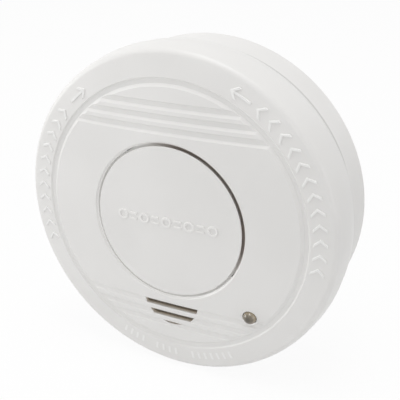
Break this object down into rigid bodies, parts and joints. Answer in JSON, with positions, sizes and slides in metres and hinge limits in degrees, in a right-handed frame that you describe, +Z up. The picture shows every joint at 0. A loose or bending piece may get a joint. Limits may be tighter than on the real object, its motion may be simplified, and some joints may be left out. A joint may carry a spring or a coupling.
{
  "type": "smoke detector",
  "caption": "Round domed wall or ceiling smoke detector with a large test button, sounder slots, an indicator lamp and a twist-off mounting base, with its chamber, board and battery inside",
  "frame": {"origin": "centre of the mounting base's back face, on the wall, midway between the two screw slots", "axes": "+Y points into the wall, the face looks along -Y, +Z is up and +X is right as seen from the front"},
  "size_m": [0.106, 0.0348, 0.106],
  "materials": {
    "cover_plastic": "smooth satin white moulded plastic",
    "base_plastic": "white moulded plastic",
    "horn_plastic": "off-white moulded plastic",
    "black_plastic": "black moulded plastic",
    "plunger_plastic": "red moulded plastic",
    "lamp_resin": "clear resin with a grey-brown die behind it",
    "emitter_resin": "bluish clear resin",
    "receiver_resin": "dark filtering resin",
    "board_laminate": "green coated laminate",
    "plated_steel": "plated steel",
    "disc_brass": "rolled brass",
    "piezo_white": "silvered ceramic",
    "dark_sleeve": "dark shrink sleeve",
    "resistor_coat": "tan lacquer",
    "capacitor_coat": "orange dipped coat",
    "coil_core": "dark core with a lacquered winding",
    "battery_jacket": "dark lacquered metal jacket"
  },
  "bodies": {
    "base": {"mounting_base": "base_plastic"},
    "alarm": {"front_cover": "cover_plastic", "rear_housing": "base_plastic", "circuit_board": "board_laminate", "indicator_led": "lamp_resin", "led_leads": "plated_steel", "chamber_base": "black_plastic", "chamber_cap": "black_plastic", "insect_screen": "plated_steel", "ir_emitter": "emitter_resin", "photodiode": "receiver_resin", "sounder_horn": "horn_plastic", "piezo_disc": "disc_brass", "piezo_ceramic": "piezo_white", "sounder_contacts": "disc_brass", "switch_body": "black_plastic", "main_chip": "black_plastic", "chip_legs": "plated_steel", "reservoir_capacitor": "dark_sleeve", "timing_capacitor": "dark_sleeve", "resistors": "resistor_coat", "ceramic_capacitors": "capacitor_coat", "step_up_coil": "coil_core", "battery": "battery_jacket", "battery_terminals": "plated_steel", "battery_contacts": "plated_steel", "case_screws": "plated_steel", "board_screws": "plated_steel"},
    "button": {"test_button": "cover_plastic"},
    "plunger": {"switch_plunger": "plunger_plastic"}
  },
  "joints": [
    {"name": "alarm_twist", "type": "hinge", "parent": "base", "child": "alarm", "pos_m": [0, 0, 0], "axis": [0, -1, 0], "range_deg": [0, 15]},
    {"name": "button_press", "type": "slide", "parent": "alarm", "child": "button", "axis": [0, 1, 0], "range_m": [0, 0.0008], "stiffness_N_per_m": 3000},
    {"name": "plunger_press", "type": "slide", "parent": "alarm", "child": "plunger", "axis": [0, 1, 0], "range_m": [0, 0.0008]}
  ],
  "couplings": [
    {"joint": "plunger_press", "follows": "button_press", "ratio": 1}
  ]
}
